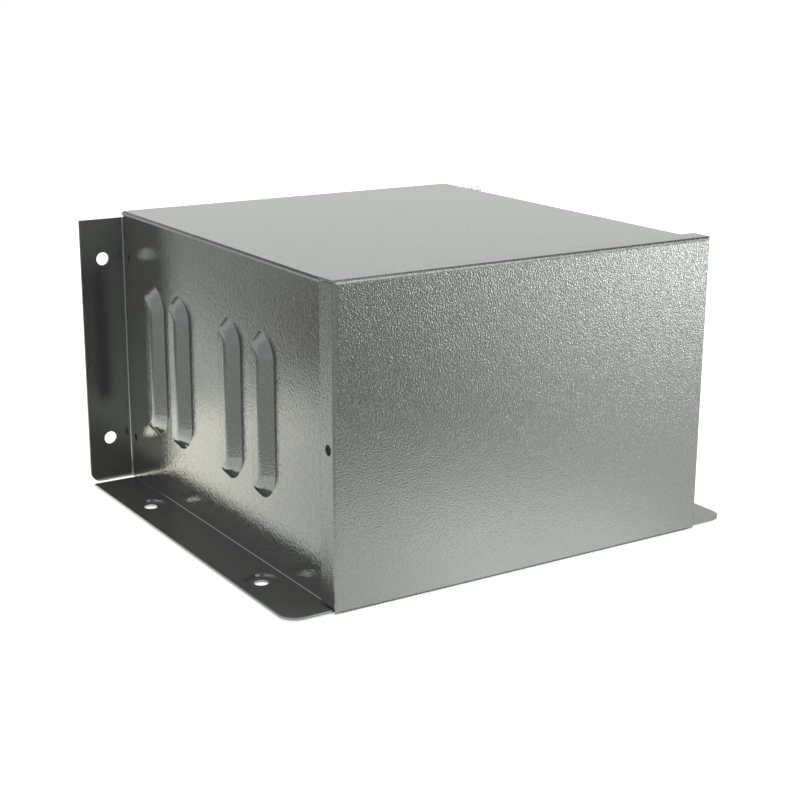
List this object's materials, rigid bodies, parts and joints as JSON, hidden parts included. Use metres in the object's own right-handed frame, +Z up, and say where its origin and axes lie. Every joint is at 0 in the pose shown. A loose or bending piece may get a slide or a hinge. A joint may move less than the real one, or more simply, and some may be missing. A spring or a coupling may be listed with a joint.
{
  "type": "ventilated sheet steel enclosure",
  "caption": "Folded sheet steel case with louvred sides, a lapped front cover, an inner chassis with rear wall and base, and drilled flanges for wall or bench fixing.",
  "frame": {"origin": "on the surface the case stands on, under the middle of its bounding box", "axes": "+X across the front to the right as seen from the front, +Y to the rear, +Z up; the front cover faces -Y"},
  "size_m": [0.26, 0.228, 0.152],
  "materials": {
    "grey_paint": "silver-grey hammer paint on steel sheet, glossy, with a fine orange-peel texture"
  },
  "bodies": {
    "root": {"body_shell": "grey_paint", "front_cover": "grey_paint", "inner_chassis": "grey_paint"}
  },
  "joints": []
}
